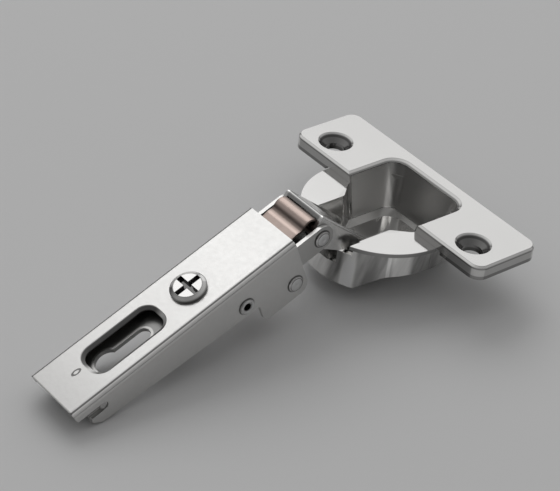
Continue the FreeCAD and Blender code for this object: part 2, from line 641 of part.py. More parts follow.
def anchor_rivet():
    """Hollow rivet across the shell that the rear end of the spring hooks over."""
    reach = SHELL_HALF + ANCHOR_HEAD_HEIGHT
    body = rod(ANCHOR_U, ANCHOR_V, ANCHOR_RADIUS, -reach, reach)
    for side in (-1, 1):
        ends = sorted((side * SHELL_HALF, side * reach))
        body = body.fuse(rod(ANCHOR_U, ANCHOR_V, ANCHOR_HEAD_RADIUS, *ends))
    return arm_place(body.cut(rod(ANCHOR_U, ANCHOR_V, ANCHOR_BORE_RADIUS, -reach, reach)))


def arc_points(centre, radius, start, end):
    """Start, middle and end points of an arc given by its angles in degrees."""
    points = []
    for angle in (start, (start + end) / 2, end):
        turn = math.radians(angle)
        points.append(FreeCAD.Vector(centre[0] + radius * math.cos(turn), 0, centre[1] + radius * math.sin(turn)))
    return points


def tangent_angle(first, first_radius, second, second_radius, side):
    """Angle of the radius where a straight run leaves the first arc to meet the second."""
    way = math.atan2(second[1] - first[1], second[0] - first[0])
    gap = math.hypot(second[0] - first[0], second[1] - first[1])
    return math.degrees(way + side * math.acos((first_radius - second_radius) / gap))


def centre_between(first, to_first, second, to_second):
    """Upper centre of the circle that stands at given distances from two other centres."""
    span = math.hypot(second[0] - first[0], second[1] - first[1])
    along = (span ** 2 + to_first ** 2 - to_second ** 2) / (2 * span)
    above = math.sqrt(to_first ** 2 - along ** 2)
    way_u = (second[0] - first[0]) / span
    way_v = (second[1] - first[1]) / span
    return first[0] + way_u * along - way_v * above, first[1] + way_v * along + way_u * above


def lean_of(base, target):
    """Direction from one centre to another, in degrees."""
    return math.degrees(math.atan2(target[1] - base[1], target[0] - base[0]))


def closing_spring():
    """Leaf hooked on the front rivet, bent over two humps and hooked on the anchor rivet."""
    half = SPRING_SHEET / 2
    pivot = (FRONT_PIVOT_U, FRONT_PIVOT_V)
    front = (SPRING_FRONT_HUMP_U, SPRING_FRONT_HUMP_V)
    rear = (SPRING_REAR_HUMP_U, SPRING_REAR_HUMP_V)
    anchor = (ANCHOR_U, ANCHOR_V)
    front_hump = SPRING_FRONT_HUMP_RADIUS - half
    rear_hump = SPRING_REAR_HUMP_RADIUS - half
    valley = centre_between(rear, rear_hump + SPRING_VALLEY_RADIUS, front, front_hump + SPRING_VALLEY_RADIUS)
    front_lean = lean_of(front, valley)
    rear_lean = lean_of(rear, valley)
    front_hook = RIVET_RADIUS + half + HEAD_GAP
    rear_hook = ANCHOR_RADIUS + half + HEAD_GAP
    rise = tangent_angle(pivot, front_hook, front, front_hump, -1)
    fall = tangent_angle(rear, rear_hump, anchor, rear_hook, -1) % 360
    pieces = [
        ("arc", pivot, front_hook, SPRING_FRONT_HOOK_START, rise),
        ("line",),
        ("arc", front, front_hump, rise, front_lean),
        ("arc", valley, SPRING_VALLEY_RADIUS, front_lean - 180.0, rear_lean - 180.0),
        ("arc", rear, rear_hump, rear_lean, fall),
        ("line",),
        ("arc", anchor, rear_hook, fall, SPRING_REAR_HOOK_END),
    ]
    sides = []
    for shift in (half, -half):
        edges = []
        previous = None
        for piece in pieces:
            if piece[0] == "line":
                edges.append("line")
                continue
            sense = 1 if piece[4] > piece[3] else -1
            points = arc_points(piece[1], piece[2] + shift * sense, piece[3], piece[4])
            if edges and edges[-1] == "line":
                edges[-1] = Part.LineSegment(previous, points[0]).toShape()
            edges.append(Part.Arc(*points).toShape())
            previous = points[2]
        sides.append(edges)
    outer, inner = sides
    caps = [
        Part.LineSegment(outer[0].firstVertex().Point, inner[0].firstVertex().Point).toShape(),
        Part.LineSegment(outer[-1].lastVertex().Point, inner[-1].lastVertex().Point).toShape(),
    ]
    wire = Part.Wire(Part.__sortEdges__(outer + inner + caps))
    leaf = Part.Face(wire).extrude(FreeCAD.Vector(0, 2 * SPRING_HALF, 0))
    leaf.translate(FreeCAD.Vector(0, -SPRING_HALF, 0))
    return arm_place(leaf)


def side_adjust_screw():
    """Screw held in the shell by its neck and threaded through the base channel."""
    neck_low = -SHELL_SHEET - HEAD_GAP
    profile = [
        (0, SIDE_SCREW_HEAD_HEIGHT),
        (SIDE_SCREW_HEAD_RADIUS - 0.9, SIDE_SCREW_HEAD_HEIGHT),
        (SIDE_SCREW_HEAD_RADIUS, SIDE_SCREW_HEAD_HEIGHT - 0.6),
        (SIDE_SCREW_HEAD_RADIUS, HEAD_GAP),
        (SIDE_SCREW_NECK_RADIUS, HEAD_GAP),
        (SIDE_SCREW_NECK_RADIUS, neck_low),
        (SIDE_SCREW_THREAD_RADIUS, neck_low),
        (SIDE_SCREW_THREAD_RADIUS, -SIDE_SCREW_LENGTH + 0.5),
        (SIDE_SCREW_THREAD_RADIUS - 0.5, -SIDE_SCREW_LENGTH),
        (0, -SIDE_SCREW_LENGTH),
    ]
    points = [FreeCAD.Vector(r, 0, v) for r, v in profile]
    face = Part.Face(Part.makePolygon(points + [points[0]]))
    screw = face.revolve(FreeCAD.Vector(0, 0, 0), FreeCAD.Vector(0, 0, 1), 360)
    half = CROSS_WIDTH / 2
    reach = CROSS_LENGTH / 2
    floor = SIDE_SCREW_HEAD_HEIGHT - CROSS_DEPTH
    bars = box(-reach, reach, -half, half, floor, 5).fuse(box(-half, half, -reach, reach, floor, 5))
    screw = screw.cut(bars)
    screw.translate(FreeCAD.Vector(SIDE_SCREW_U, 0, 0))
    return arm_place(screw)


def base_channel():
    """Channel inside the arm with the keyhole that hooks on the cabinet's mounting plate."""
    side = [
        (BASE_REAR_U, BASE_ROOF_V, 0.6),
        (BASE_FRONT_U, BASE_ROOF_V, 0.6),
        (BASE_FRONT_U, -BASE_DEPTH, 1.0),
        (BASE_REAR_U, -BASE_DEPTH, 1.0),
    ]
    half = SHELL_INNER_HALF - SIDE_GAP
    channel = slab(side, -half, half)
    inner = half - BASE_SHEET
    channel = channel.cut(box(BASE_REAR_U - 1, BASE_FRONT_U + 1, -inner, inner, -BASE_DEPTH - 1, BASE_ROOF_V - BASE_SHEET))
    low = BASE_ROOF_V - BASE_SHEET - 1
    high = BASE_SHEET + 2
    keyhole = Part.makeCylinder(KEYHOLE_ROUND_RADIUS, high, FreeCAD.Vector(KEYHOLE_ROUND_U, 0, low))
    finger = Part.Face(level_outline([
        (KEYHOLE_FRONT_U, KEYHOLE_SLOT_HALF_WIDTH, KEYHOLE_SLOT_HALF_WIDTH * 0.98),
        (KEYHOLE_FRONT_U, -KEYHOLE_SLOT_HALF_WIDTH, KEYHOLE_SLOT_HALF_WIDTH * 0.98),
        (KEYHOLE_ROUND_U, -KEYHOLE_SLOT_HALF_WIDTH, 0),
        (KEYHOLE_ROUND_U, KEYHOLE_SLOT_HALF_WIDTH, 0),
    ], low)).extrude(FreeCAD.Vector(0, 0, high))
    channel = channel.cut(keyhole.fuse(finger))
    screw_at = FreeCAD.Vector(SIDE_SCREW_U, 0, low)
    channel = channel.cut(Part.makeCylinder(SIDE_SCREW_THREAD_RADIUS + THREAD_GAP, high, screw_at))
    channel = channel.cut(rod(TILT_PIVOT_U, TILT_PIVOT_V, TILT_PIN_RADIUS, -SHELL_HALF, SHELL_HALF))
    return arm_place(channel)


def tilt_pin():
    """Cross pin of the base channel that turns in the rear slots of the shell."""
    reach = SHELL_HALF - 0.3
    return arm_place(rod(TILT_PIVOT_U, TILT_PIVOT_V, TILT_PIN_RADIUS, -reach, reach))


def main():
    os.makedirs("parts", exist_ok=True)
    write(hinge_cup(), "hinge_cup")
    left, right = outer_link_pins()
    write(left, "outer_link_pin_left")
    write(right, "outer_link_pin_right")
    write(inner_link_pin(), "inner_link_pin")
    write(outer_link(), "outer_link")
    write(inner_link(), "inner_link")
    write(arm_shell(), "arm_shell")
    write(ear_channel(), "ear_channel")
    write(rivet(FRONT_PIVOT_U, FRONT_PIVOT_V, EAR_HALF), "front_rivet")
    write(rivet(LOWER_PIVOT_U, LOWER_PIVOT_V, SHELL_HALF), "lower_rivet")
    write(lower_sleeve(1), "lower_sleeve_left")
    write(lower_sleeve(-1), "lower_sleeve_right")
    write(anchor_rivet(), "anchor_rivet")
    write(closing_spring(), "closing_spring")
    write(side_adjust_screw(), "side_adjust_screw")
    write(base_channel(), "base_channel")
    write(tilt_pin(), "tilt_pin")


main()
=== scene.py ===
import math

import bmesh
import bpy
import numpy as np
from bpy.props import FloatProperty, FloatVectorProperty, IntProperty, PointerProperty
from mathutils import Matrix, Vector


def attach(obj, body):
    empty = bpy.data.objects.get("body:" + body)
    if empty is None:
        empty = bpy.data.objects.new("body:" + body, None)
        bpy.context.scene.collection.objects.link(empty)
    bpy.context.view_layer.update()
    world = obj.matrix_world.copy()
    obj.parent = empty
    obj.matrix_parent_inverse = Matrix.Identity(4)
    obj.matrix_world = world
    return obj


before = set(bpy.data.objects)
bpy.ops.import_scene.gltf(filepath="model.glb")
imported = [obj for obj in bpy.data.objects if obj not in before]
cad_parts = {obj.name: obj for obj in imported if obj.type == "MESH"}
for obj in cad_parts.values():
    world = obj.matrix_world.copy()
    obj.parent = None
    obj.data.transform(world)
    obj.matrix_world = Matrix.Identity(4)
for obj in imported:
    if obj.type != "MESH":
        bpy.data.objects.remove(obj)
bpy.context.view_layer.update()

bl_info = {
    "name": "Concealed cup hinge looks",
    "version": (1, 0, 0),
    "blender": (4, 5, 0),
    "location": "View3D > Sidebar > Hinge",
    "description": "Finishes, small details and studio stage of a concealed cup hinge",
    "category": "Object",
}

MM = 0.001

# Arm axes: where the front edge of the arm's top sheet lies, and the arm's hang past level.
ARM_ORIGIN = np.array([-33.14, 0.0, 7.62]) * MM
ARM_HANG = math.radians(23.48)
ARM_U = np.array([math.cos(ARM_HANG), 0.0, math.sin(ARM_HANG)])
ARM_V = np.array([-math.sin(ARM_HANG), 0.0, math.cos(ARM_HANG)])
CROSSWISE = np.array([0.0, 1.0, 0.0])

# Places on the hinge that the finishes and small details are set out from.
# Rivets and the keyhole are in arm axes (u, v) or (u, y); flange screw holes are in cup axes (x, y).
FRONT_RIVET_PLACE = (6.96 * MM, -5.8 * MM)
LOWER_RIVET_PLACE = (-3.1 * MM, -11.2 * MM)
HOLLOW_RIVET_PLACE = (-15.9 * MM, -6.9 * MM)
FRONT_RIVET_FACE = 7.8 * MM
LOWER_RIVET_FACE = 8.75 * MM
HOLLOW_RIVET_FACE = 8.5 * MM
SCREW_U = -23.7 * MM
SCREW_FACE = 1.2 * MM
STAMP_PLACE = (-54.1 * MM, 0.7 * MM)
STAMP_REACH = (1.2 * MM, 0.62 * MM)
KEYHOLE_ROUND_U = -46.8 * MM
KEYHOLE_ROUND_RADIUS = 3.2 * MM
KEYHOLE_SLOT_END_U = -37.4 * MM
KEYHOLE_SLOT_HALF = 1.8 * MM
FLANGE_HOLE_PLACE = (6.0 * MM, 24.0 * MM)
FLANGE_TOP = 3.5 * MM
FLANGE_HALF = 32.2 * MM
CUP_RADIUS = 17.5 * MM
COLLAR_RADIUS = 18.6 * MM
LIP_TOP = 1.0 * MM
LEDGE_TOP = -8.0 * MM
POCKET_HALF = 12.0 * MM
POCKET_CORNER_X = 12.0 * MM
WINDOW_ENDS = (-52.1 * MM, -31.4 * MM)

# Painted reflections on the cup's polished wall: bright bands, each with first and last angle, softness, and
# how much lighter.
PAINTED_REFLECTION_BANDS = (
    (-10.0, 6.0, 8.0, 0.25),
    (23.0, 30.0, 4.0, 0.85),
    (55.5, 57.0, 1.2, 0.6),
    (61.0, 71.0, 5.0, 0.7),
)
# Painted reflection streaks on that wall: lean and change for each metre of height, scale and detail of their
# noise, where they start and end in it, their painted light, and the wall's painted darker tone between them.
STREAK_LEAN = -16.0
STREAK_RISE = 8.0
STREAK_SCALE = 5.5
STREAK_DETAIL = 4.0
STREAK_EDGES = (0.36, 0.66)
STREAK_PAINTED_LIGHT = 0.44
WALL_PAINTED_SHADE = 0.43
# Roughness that the pocket's cast skin adds.
POCKET_DULLING = 0.22

# Painted light and shade on the bare plating's colour: a factor for each place, where 1 leaves it as it is,
# less is painted shade and more is painted light.
# Cup: painted shade on the pocket's ledge, in the flange's screw sinks, on the flange's front face and ends,
# in a line under its top edge, on the collar's side and on the pocket's back wall; painted light on the lips,
# the pocket's other walls and a line along the flange's edge.
CUP_PAINTED_LIGHT_AND_SHADE = {"ledge": 0.72, "lip": 1.08, "pocket": 1.25, "sink": 0.34, "front": 0.62, "end": 0.7,
             "under_edge": 0.5, "edge": 1.35, "collar": 0.5, "back": 0.66}
# Arm: painted shade in the stamped ring's groove, painted shadows round the rivet heads, a painted dark line
# and a painted glint along the fold, a painted dark line at the rear edge, and painted shade at the front end
# and rear of the top.
ARM_PAINTED_LIGHT_AND_SHADE = {"ring": 0.3, "seam": 0.22, "fold": 0.32, "glint": 1.5, "rear": 0.5, "head": 0.94, "tail": 0.87}
# Inner sheet: painted shade on the roof round the keyhole, a painted shadow round the front rivet's head, and
# a painted highlight on the ears' crest.
INNER_SHEET_PAINTED_LIGHT_AND_SHADE = {"roof": 0.5, "seam": 0.22, "crest": 1.22}
# Links: painted shade on the web, and painted light on the legs' outer faces.
LINK_PAINTED_LIGHT_AND_SHADE = {"web": 0.5, "leg": 1.3}
# Screw: painted shade in the cross recess, on the head's rim and edge, and over its face.
SCREW_PAINTED_SHADE = {"recess": 0.16, "rim": 0.26, "edge": 0.5, "face": 0.78}
# Rivet heads: painted shade in a groove and in the dimple.
RIVET_PAINTED_SHADE = {"groove": 0.4, "dimple": 0.6}
# Spring: painted shade in the valley between the humps, at its ends and on its front crest.
SPRING_PAINTED_SHADE = {"valley": 0.5, "ends": 0.8, "crest": 0.72}
# Painted light on the window's pressed rim at its near side, and painted shade at its far side.
WINDOW_RIM_PAINTED_LIGHT_AND_SHADE = (1.22, 0.22)
# Turned rings on the rivets' heads: distance between them, and their height in the bump.
TURNED_RING_PITCH = 0.45 * MM
TURNED_RING_HEIGHT = 0.25

# Metal: detail of the grain's noise, drift of the roughness with it, and reach of the bump.
GRAIN_DETAIL = 4.0
ROUGHNESS_DRIFT = (0.75, 1.25)
BUMP_REACH = 0.2 * MM

# Screw's thread: turns, lowest place, angle over which the ridge rises at each end, what is left
# of its height and width there, and its section as shares of ridge height and of pitch.
THREAD_TURNS = 6.2
THREAD_START = -7.6 * MM
THREAD_FADE_ANGLE = 1.5
THREAD_FADE_LEAST = 0.1
THREAD_LEAST_WIDTH = 0.2
THREAD_SECTION = ((0.0, -0.36), (1.0, 0.0), (0.0, 0.36), (-0.6, 0.0))

# Rivets: points round a lip's bead and out to a crown's rim, share of the radius where a crown's
# middle is closed, width of its dimple, and how deep the crown and its skirt stand in the head.
LIP_POINTS = 14
CROWN_POINTS = 12
CROWN_MIDDLE_SHARE = 0.02
CROWN_DIMPLE_SHARE = 0.28
CROWN_SINK = 0.02 * MM
CROWN_SKIRT = 0.1 * MM

# Stage, in metres: the lamps' places are measured from the hinge's middle.
HINGE_MIDDLE = (-0.03, 0.0, 0.0)
KEY_LAMP_PLACE = (0.28, 0.86, 1.04)
KEY_LAMP_SIZE = 0.95
BACK_LAMP_PLACE = (0.84, 0.72, 0.68)
BACK_LAMP_SIZE = 0.66
DOME_BRIGHT_WAY = (0.25, 0.65, 0.75)
HORIZON_EDGES = (0.0, 0.4)
DOME_DIM_EDGE = -0.1
DOME_BRIGHT_EDGE = 0.95
FLOOR_NORMAL = (-0.109, 0.0, 1.0)
FLOOR_TOUCH = (0.0165, 0.0, -0.0113)
FLOOR_REACH = 1.6
FLOOR_ROUGHNESS = 0.9
FLOOR_SPECULAR = 0.1
CAMERA_PLACE = (-0.2983, -0.2848, 0.2705)
CAMERA_RIGHT = (0.7742, -0.6229, 0.1125)
CAMERA_DOWN = (-0.2861, -0.5029, -0.8156)
CAMERA_FORWARD = (0.5647, 0.5992, -0.5675)
CAMERA_SENSOR = 36.0
CAMERA_NEAREST = 0.01

# Which finish each solid of the hinge wears.
NODE_FINISHES = {
    "hinge_cup": "cast_nickel",
    "outer_link_pin_left": "pin_steel",
    "outer_link_pin_right": "pin_steel",
    "inner_link_pin": "pin_steel",
    "outer_link": "link_nickel",
    "inner_link": "link_nickel",
    "arm_shell": "sheet_nickel",
    "ear_channel": "inner_sheet",
    "front_rivet": "pin_steel",
    "lower_rivet": "pin_steel",
    "lower_sleeve_left": "pin_steel",
    "lower_sleeve_right": "pin_steel",
    "anchor_rivet": "pin_steel",
    "closing_spring": "spring_copper",
    "side_adjust_screw": "screw_nickel",
    "base_channel": "inner_sheet",
    "tilt_pin": "pin_steel",
}


def arm_points(u, y, v):
    """World places of arm-axes points: origin + u along the arm + y across + v square to the top."""
    u, y, v = np.broadcast_arrays(u, y, v)
    return ARM_ORIGIN + u[..., None] * ARM_U + y[..., None] * CROSSWISE + v[..., None] * ARM_V


def grid_faces(rows, columns, wrap_rows=False, wrap_columns=False):
    """Quads of a grid of points in row-major order, joined end to end where it wraps."""
    row_count = rows if wrap_rows else rows - 1
    column_count = columns if wrap_columns else columns - 1
    i, j = np.meshgrid(np.arange(row_count), np.arange(column_count), indexing="ij")
    i2 = (i + 1) % rows
    j2 = (j + 1) % columns
    quads = np.stack([i * columns + j, i * columns + j2, i2 * columns + j2, i2 * columns + j], axis=-1)
    return quads.reshape(-1, 4)


def make_piece(name, points, faces, material, smooth=True):
    """A mesh object at the origin from arrays of points and faces, turned to face outwards."""
    mesh = bpy.data.meshes.new(name)
    mesh.from_pydata(points.reshape(-1, 3).tolist(), [], [list(face) for face in faces])
    skin = bmesh.new()
    skin.from_mesh(mesh)
    bmesh.ops.recalc_face_normals(skin, faces=skin.faces[:])
    skin.to_mesh(mesh)
    skin.free()
    mesh.update()
    mesh.polygons.foreach_set("use_smooth", np.full(len(mesh.polygons), smooth))
    mesh.materials.append(material)
    piece = bpy.data.objects.new(name, mesh)
    bpy.context.scene.collection.objects.link(piece)
    return piece


def joined(tree, socket, value):
    """Sets a socket to a number, or links it to another node's output."""
    if isinstance(value, bpy.types.NodeSocket):
        tree.links.new(value, socket)
    else:
        socket.default_value = value


def worked(tree, operation, *values):
    """Output of one math step on numbers or outputs."""
    node = tree.nodes.new("ShaderNodeMath")
    node.operation = operation
    for socket, value in zip(node.inputs, values):
        joined(tree, socket, value)
    return node.outputs[0]


def rise(tree, value, low, high):
    """0 below low, 1 above high, and a smooth step between them."""
    node = tree.nodes.new("ShaderNodeMapRange")
    node.interpolation_type = "SMOOTHSTEP"
    joined(tree, node.inputs["Value"], value)
    node.inputs["From Min"].default_value = low
    node.inputs["From Max"].default_value = high
    return node.outputs["Result"]


def fall(tree, value, low, high):
    """1 below low, 0 above high, and a smooth step between them."""
    return worked(tree, "SUBTRACT", 1.0, rise(tree, value, low, high))


def band(tree, value, low, high, soft):
    """1 between low and high, with soft edges outside them."""
    return both(tree, rise(tree, value, low - soft, low), fall(tree, value, high, high + soft))


def both(tree, *masks):
    """Product of masks: 1 only where each of them is 1."""
    result = masks[0]
    for mask in masks[1:]:
        result = worked(tree, "MULTIPLY", result, mask)
    return result


def shaded(tree, mask, amount):
    """Factor for a colour: amount where the mask is 1, and 1 where it is 0."""
    return worked(tree, "MULTIPLY_ADD", mask, amount - 1.0, 1.0)


def toned(tree, tones, **masks):
    """Factor of painted light and shade for a colour: the product of each named mask's own tone."""
    return both(tree, *(shaded(tree, mask, tones[name]) for name, mask in masks.items()))


def distance(tree, first, first_centre, second, second_centre, first_reach=1.0, second_reach=1.0):
    """Distance from a centre in a plane, or in ellipse radii where reaches are given."""
    across = worked(tree, "DIVIDE", worked(tree, "SUBTRACT", first, first_centre), first_reach)
    along = worked(tree, "DIVIDE", worked(tree, "SUBTRACT", second, second_centre), second_reach)
    square = worked(tree, "MULTIPLY_ADD", across, across, worked(tree, "MULTIPLY", along, along))
    return worked(tree, "SQRT", square)


def cup_axes(tree, place):
    """x, y and z of the shaded point in the cup's axes."""
    split = tree.nodes.new("ShaderNodeSeparateXYZ")
    tree.links.new(place, split.inputs[0])
    return split.outputs


def arm_axes(tree, place):
    """u, y and v of the shaded point in the arm's axes: products with the arm's two directions."""
    shifted = tree.nodes.new("ShaderNodeVectorMath")
    shifted.operation = "SUBTRACT"
    tree.links.new(place, shifted.inputs[0])
    shifted.inputs[1].default_value = tuple(ARM_ORIGIN)
    parts = []
    for way in (ARM_U, CROSSWISE, ARM_V):
        product = tree.nodes.new("ShaderNodeVectorMath")
        product.operation = "DOT_PRODUCT"
        tree.links.new(shifted.outputs[0], product.inputs[0])
        product.inputs[1].default_value = tuple(way)
        parts.append(product.outputs["Value"])
    return parts


def wall_painted_reflections(tree, x, y, z):
    """Painted reflections on the cup's polished wall: a few broad bright bands and fine slanted streaks over a
    painted darker tone.

    The angle is measured from the arm's side of the cup, and the streaks follow the angle
    plus a share of the height, so that they lean.
    """
    angle = worked(tree, "ARCTAN2", worked(tree, "MULTIPLY", y, -1.0), worked(tree, "MULTIPLY", x, -1.0))
    glow = 0.0
    for low, high, soft, light in PAINTED_REFLECTION_BANDS:
        mask = band(tree, angle, math.radians(low), math.radians(high), math.radians(soft))
        glow = worked(tree, "MULTIPLY_ADD", mask, light, glow)
    spread = tree.nodes.new("ShaderNodeCombineXYZ")
    joined(tree, spread.inputs[0], worked(tree, "MULTIPLY_ADD", z, STREAK_LEAN, angle))
    joined(tree, spread.inputs[1], worked(tree, "MULTIPLY", z, STREAK_RISE))
    streaks = tree.nodes.new("ShaderNodeTexNoise")
    streaks.inputs["Scale"].default_value = STREAK_SCALE
    streaks.inputs["Detail"].default_value = STREAK_DETAIL
    tree.links.new(spread.outputs[0], streaks.inputs["Vector"])
    streak = rise(tree, streaks.outputs["Fac"], *STREAK_EDGES)
    return worked(tree, "MULTIPLY_ADD", streak, STREAK_PAINTED_LIGHT, worked(tree, "ADD", glow, WALL_PAINTED_SHADE))


def cup_details(tree, place):
    """Painted reflections on the cup's wall, painted light and shade on its edges and deep places, and the
    pocket's duller skin.
    """
    x, y, z = cup_axes(tree, place)
    radius = distance(tree, x, 0.0, y, 0.0)
    side = worked(tree, "ABSOLUTE", y)
    # Painted reflections and painted shade on the cup's outer wall.
    wall = both(tree, rise(tree, radius, CUP_RADIUS - 0.3 * MM, CUP_RADIUS - 0.1 * MM),
                fall(tree, z, -0.2 * MM, 0.0))
    reflection_lift = worked(tree, "SUBTRACT", wall_painted_reflections(tree, x, y, z), 1.0)
    painted_reflection = worked(tree, "MULTIPLY_ADD", wall, reflection_lift, 1.0)

    hole = distance(tree, x, FLANGE_HOLE_PLACE[0], side, FLANGE_HOLE_PLACE[1])
    sink = both(tree, fall(tree, hole, 4.1 * MM, 4.2 * MM),
                fall(tree, z, FLANGE_TOP - 0.5 * MM, FLANGE_TOP - 0.1 * MM))
    front = both(tree, band(tree, x, -0.05 * MM, 0.05 * MM, 0.05 * MM),
                 rise(tree, side, 11.0 * MM, 12.0 * MM), fall(tree, z, 2.7 * MM, 3.1 * MM))
    end = both(tree, rise(tree, side, FLANGE_HALF - 0.15 * MM, FLANGE_HALF - 0.05 * MM),
               fall(tree, z, 2.8 * MM, 3.1 * MM))
    under_edge = band(tree, z, 2.7 * MM, 2.95 * MM, 0.15 * MM)
    edge = band(tree, z, 3.15 * MM, 3.38 * MM, 0.08 * MM)

    collar = both(tree, rise(tree, radius, COLLAR_RADIUS - 0.1 * MM, COLLAR_RADIUS - 0.02 * MM),
                  fall(tree, z, LIP_TOP - 0.2 * MM, LIP_TOP - 0.02 * MM))
    lip = both(tree, band(tree, z, LIP_TOP - 0.02 * MM, LIP_TOP + 0.02 * MM, 0.01 * MM),
               rise(tree, radius, 10.0 * MM, 10.5 * MM))
    ledge = both(tree, band(tree, z, LEDGE_TOP - 0.05 * MM, LEDGE_TOP + 0.05 * MM, 0.05 * MM),
                 fall(tree, radius, 16.2 * MM, 16.3 * MM))

    inside = both(tree, rise(tree, x, 0.0, 1.0 * MM),
                  fall(tree, side, POCKET_HALF - 0.1 * MM, POCKET_HALF + 0.3 * MM),
                  fall(tree, z, 2.4 * MM, 3.0 * MM), rise(tree, z, -8.4 * MM, -7.6 * MM))
    corner = (POCKET_CORNER_X - 0.2 * MM, POCKET_CORNER_X + 0.4 * MM)
    back = both(tree, inside, rise(tree, x, *corner))
    pocket = both(tree, inside, fall(tree, x, *corner))
    # Painted shade and painted highlights at these places of the cup.
    tones = toned(tree, CUP_PAINTED_LIGHT_AND_SHADE, ledge=ledge, lip=lip, pocket=pocket, sink=sink, front=front, end=end,
                  under_edge=under_edge, edge=edge, collar=collar, back=back)
    return both(tree, painted_reflection, tones), None, worked(tree, "MULTIPLY", inside, POCKET_DULLING)


def arm_details(tree, place):
    """Painted shade in the stamped ring, painted shadows round the rivet heads, a painted line and glint along
    the fold, painted light and shade on the window's rim, and painted shade at the ends of the top.
    """
    u, y, v = arm_axes(tree, place)
    side = worked(tree, "ABSOLUTE", y)
    # Painted shade in the stamped oval ring's groove; the same ring is also pressed into the bump.
    oval = distance(tree, u, STAMP_PLACE[0], y, STAMP_PLACE[1], *STAMP_REACH)
    ring = both(tree, band(tree, oval, 0.68, 1.0, 0.1), rise(tree, v, -0.4 * MM, -0.2 * MM))
    lower = distance(tree, u, LOWER_RIVET_PLACE[0], v, LOWER_RIVET_PLACE[1])
    hollow = distance(tree, u, HOLLOW_RIVET_PLACE[0], v, HOLLOW_RIVET_PLACE[1])
    # Painted shadow rings on the sheet round the lower and hollow rivets' heads.
    seam = worked(tree, "MAXIMUM", band(tree, lower, 1.8 * MM, 2.05 * MM, 0.25 * MM),
                  band(tree, hollow, 1.8 * MM, 2.0 * MM, 0.25 * MM))
    # Painted dark line where the fold leaves the top, and a painted glint just below it.
    fold = both(tree, band(tree, side, 7.15 * MM, 7.4 * MM, 0.12 * MM), rise(tree, v, -0.5 * MM, -0.4 * MM))
    glint = both(tree, rise(tree, side, 7.4 * MM, 7.5 * MM), band(tree, v, -0.65 * MM, -0.22 * MM, 0.12 * MM))
    # Painted dark line along the rear edge, and painted shade at the front end and towards the rear of the
    # top.
    rear = both(tree, fall(tree, u, -61.2 * MM, -61.05 * MM), rise(tree, v, -0.3 * MM, -0.2 * MM))
    top = rise(tree, v, -0.2 * MM, -0.05 * MM)
    head = both(tree, top, rise(tree, u, -14.0 * MM, 0.0))
    tail = both(tree, top, fall(tree, u, -66.0 * MM, -44.0 * MM))

    # Painted light on the near side of the window's pressed rim and painted shade on its far side.
    dish = both(tree, fall(tree, side, 4.5 * MM, 4.6 * MM), band(tree, u, *WINDOW_ENDS, 0.1 * MM),
                fall(tree, v, -0.16 * MM, -0.04 * MM))
    near, far = WINDOW_RIM_PAINTED_LIGHT_AND_SHADE
    lit = worked(tree, "MULTIPLY_ADD", rise(tree, y, -1.5 * MM, 1.5 * MM), far - near, near - 1.0)
    rim = worked(tree, "MULTIPLY_ADD", dish, lit, 1.0)
    # Painted light and shade at these places of the arm.
    tones = toned(tree, ARM_PAINTED_LIGHT_AND_SHADE, ring=ring, seam=seam, fold=fold, glint=glint, rear=rear, head=head,
                  tail=tail)
    return both(tree, tones, rim), worked(tree, "MULTIPLY", ring, -1.0), None


def inner_sheet_details(tree, place):
    """Painted shade on the roof, with the keyhole's edge left bright as a painted highlight, a painted
    highlight on the ears' crest, and a painted shadow round the front rivet's head.
    """
    u, y, v = arm_axes(tree, place)
    past = worked(tree, "MAXIMUM", worked(tree, "SUBTRACT", u, KEYHOLE_SLOT_END_U),
                  worked(tree, "SUBTRACT", KEYHOLE_ROUND_U, u))
    past = worked(tree, "MAXIMUM", past, 0.0)
    slot = worked(tree, "SUBTRACT", distance(tree, past, 0.0, y, 0.0), KEYHOLE_SLOT_HALF)
    bulb = worked(tree, "SUBTRACT", distance(tree, u, KEYHOLE_ROUND_U, y, 0.0), KEYHOLE_ROUND_RADIUS)
    keyhole_reach = worked(tree, "MINIMUM", slot, bulb)
    # Painted shade on the roof round the keyhole; a band along the keyhole's edge is left bright as a painted
    # highlight.
    roof = both(tree, rise(tree, v, -4.2 * MM, -4.0 * MM), fall(tree, u, -30.0 * MM, -29.0 * MM),
                rise(tree, keyhole_reach, 0.45 * MM, 0.7 * MM))
    front = distance(tree, u, FRONT_RIVET_PLACE[0], v, FRONT_RIVET_PLACE[1])
    # Painted shadow ring on the ear round the front rivet's head.
    seam = band(tree, front, 1.85 * MM, 2.1 * MM, 0.25 * MM)
    # Painted highlight along the ears' crest.
    crest = both(tree, rise(tree, v, -2.8 * MM, -2.74 * MM), rise(tree, u, -2.6 * MM, -2.2 * MM))
    return toned(tree, INNER_SHEET_PAINTED_LIGHT_AND_SHADE, roof=roof, seam=seam, crest=crest), None, None


def link_details(tree, place):
    """Painted shade on the web between the links' legs, and painted light on their outer faces."""
    side = worked(tree, "ABSOLUTE", cup_axes(tree, place)[1])
    web = fall(tree, side, 5.2 * MM, 5.7 * MM)
    leg = rise(tree, side, 6.15 * MM, 6.22 * MM)
    return toned(tree, LINK_PAINTED_LIGHT_AND_SHADE, web=web, leg=leg), None, None


